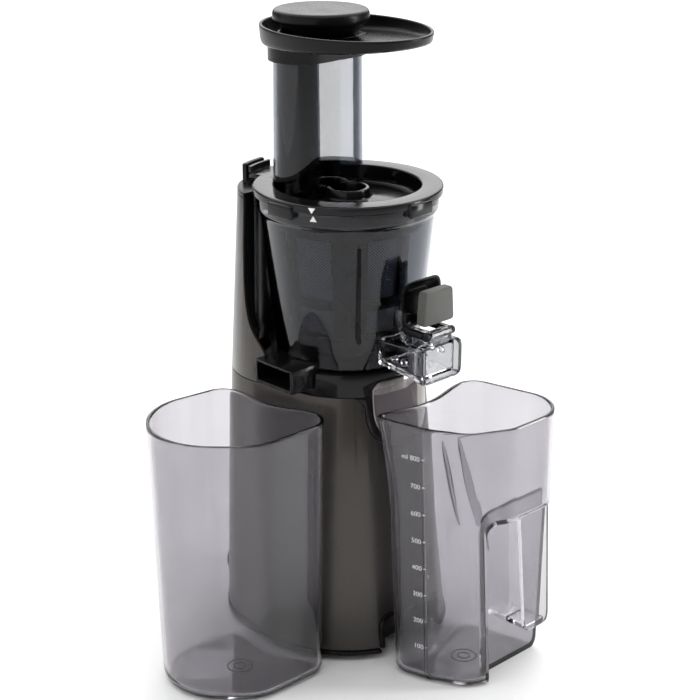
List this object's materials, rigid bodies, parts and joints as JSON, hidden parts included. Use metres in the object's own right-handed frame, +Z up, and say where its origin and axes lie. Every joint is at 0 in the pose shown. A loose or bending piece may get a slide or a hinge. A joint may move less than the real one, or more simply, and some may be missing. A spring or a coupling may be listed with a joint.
{
  "type": "slow juicer",
  "caption": "Upright slow juicer with a feed tube and tray over a clear screw chamber, a motor base, a pulp container and a pouring jug.",
  "frame": {"origin": "centre of the bounding box's bottom, on the table", "axes": "+Z up, -Y the juice spout's side (front), -X the pulp chute's side"},
  "size_m": [0.2214, 0.2238, 0.4135],
  "materials": {
    "titanium_paint": "warm grey metallic satin",
    "black_gloss": "glossy black",
    "black_satin": "satin black",
    "smoked_clear": "smoked clear plastic",
    "tinted_clear": "lightly tinted clear plastic",
    "steel": "brushed",
    "gunmetal_chrome": "dark polished",
    "grey_silicone": "soft matte",
    "black_rubber": "matte",
    "natural_nylon": "matte",
    "copper_winding": "varnished wire",
    "circuit_board": "lacquered board"
  },
  "bodies": {
    "machine": {"base_plate": "black_satin", "foot_1": "black_rubber", "foot_2": "black_rubber", "foot_3": "black_rubber", "foot_4": "black_rubber", "base_screw_1": "steel", "base_screw_2": "steel", "base_screw_3": "steel", "base_screw_4": "steel", "arch_trim": "black_satin", "lower_shell": "titanium_paint", "column_cover": "titanium_paint", "inner_housing": "black_gloss", "column_cap": "black_gloss", "front_trim": "black_gloss", "front_plate": "gunmetal_chrome", "motor_stator": "steel", "winding_lower": "copper_winding", "winding_upper": "copper_winding", "motor_bracket_lower": "steel", "motor_bracket_upper": "steel", "gearbox_housing": "natural_nylon", "gearbox_cover": "natural_nylon", "shaft_bearing": "steel", "shaft_seal": "grey_silicone", "control_board": "circuit_board", "interlock_sensor": "black_satin", "switch_bezel": "black_satin", "cord_inlet": "black_satin"},
    "rotor": {"motor_rotor": "steel", "motor_shaft": "steel", "motor_fan": "natural_nylon", "motor_pinion": "steel"},
    "lay_gears": {"layshaft": "steel", "stage_gear": "natural_nylon", "stage_pinion": "steel"},
    "output": {"output_gear": "natural_nylon", "drive_shaft": "steel"},
    "rocker": {"switch_rocker": "black_gloss"},
    "bowl": {"juice_bowl": "smoked_clear", "pulp_chute": "black_gloss", "bowl_seal": "grey_silicone", "strainer_frame": "black_gloss", "strainer_mesh": "steel"},
    "screw": {"auger": "black_gloss", "auger_socket": "steel"},
    "idler": {"idler_gear": "natural_nylon"},
    "brush": {"brush_holder": "black_gloss", "wiper_blade_1": "grey_silicone", "wiper_blade_2": "grey_silicone"},
    "cap": {"juice_cap": "black_gloss", "cap_pad": "grey_silicone"},
    "lid_seal": {"lid_gasket": "grey_silicone"},
    "lid_set": {"lid": "black_gloss", "feed_tube": "smoked_clear", "lid_magnet": "steel"},
    "tray": {"hopper_tray": "black_satin"},
    "plunger": {"pusher": "black_satin"},
    "pulp_vessel": {"pulp_container": "tinted_clear"},
    "jug": {"juice_jug": "tinted_clear"}
  },
  "joints": [
    {"name": "motor_spin", "type": "hinge", "parent": "machine", "child": "rotor", "pos_m": [0.04375, 0.0381, 0.06], "axis": [0, 0, 1], "continuous": true},
    {"name": "layshaft_spin", "type": "hinge", "parent": "machine", "child": "lay_gears", "pos_m": [0.06802, 0.0321, 0.12], "axis": [0, 0, 1], "continuous": true},
    {"name": "output_spin", "type": "hinge", "parent": "machine", "child": "output", "pos_m": [0.04375, 0.0261, 0.15], "axis": [0, 0, 1], "continuous": true},
    {"name": "switch_tilt", "type": "hinge", "parent": "machine", "child": "rocker", "pos_m": [0.04375, 0.1037, 0.063], "axis": [1, 0, 0], "range_deg": [-12, 12]},
    {"name": "bowl_lift", "type": "slide", "parent": "machine", "child": "bowl", "axis": [0, 0, 1], "range_m": [0, 0.12]},
    {"name": "auger_spin", "type": "hinge", "parent": "bowl", "child": "screw", "pos_m": [0.04375, 0.0261, 0.25], "axis": [0, 0, 1], "continuous": true},
    {"name": "idler_spin", "type": "hinge", "parent": "bowl", "child": "idler", "pos_m": [0.04375, 0.0576, 0.205], "axis": [0, 0, 1], "continuous": true},
    {"name": "brush_spin", "type": "hinge", "parent": "bowl", "child": "brush", "pos_m": [0.04375, 0.0261, 0.25], "axis": [0, 0, 1], "continuous": true},
    {"name": "cap_close", "type": "hinge", "parent": "bowl", "child": "cap", "pos_m": [0.04375, -0.0541, 0.2255], "axis": [1, 0, 0], "range_deg": [0, 180]},
    {"name": "lid_lift", "type": "slide", "parent": "bowl", "child": "lid_seal", "axis": [0, 0, 1], "range_m": [0, 0.1]},
    {"name": "lid_turn", "type": "hinge", "parent": "lid_seal", "child": "lid_set", "pos_m": [0.04375, 0.0261, 0.304], "axis": [0, 0, 1], "range_deg": [0, 25]},
    {"name": "tray_lift", "type": "slide", "parent": "lid_set", "child": "tray", "axis": [0, 0, 1], "range_m": [0, 0.04]},
    {"name": "pusher_slide", "type": "slide", "parent": "tray", "child": "plunger", "axis": [0, 0, 1], "range_m": [0, 0.12]},
    {"name": "pulp_pull_out", "type": "slide", "parent": "machine", "child": "pulp_vessel", "axis": [-1, 0, 0], "range_m": [0, 0.1]},
    {"name": "jug_pull_out", "type": "slide", "parent": "machine", "child": "jug", "axis": [0, -1, 0], "range_m": [0, 0.1]}
  ],
  "couplings": [
    {"joint": "layshaft_spin", "follows": "motor_spin", "ratio": -0.33333},
    {"joint": "output_spin", "follows": "motor_spin", "ratio": 0.11111},
    {"joint": "auger_spin", "follows": "motor_spin", "ratio": 0.11111},
    {"joint": "idler_spin", "follows": "motor_spin", "ratio": -0.38889},
    {"joint": "brush_spin", "follows": "motor_spin", "ratio": -0.070707}
  ]
}
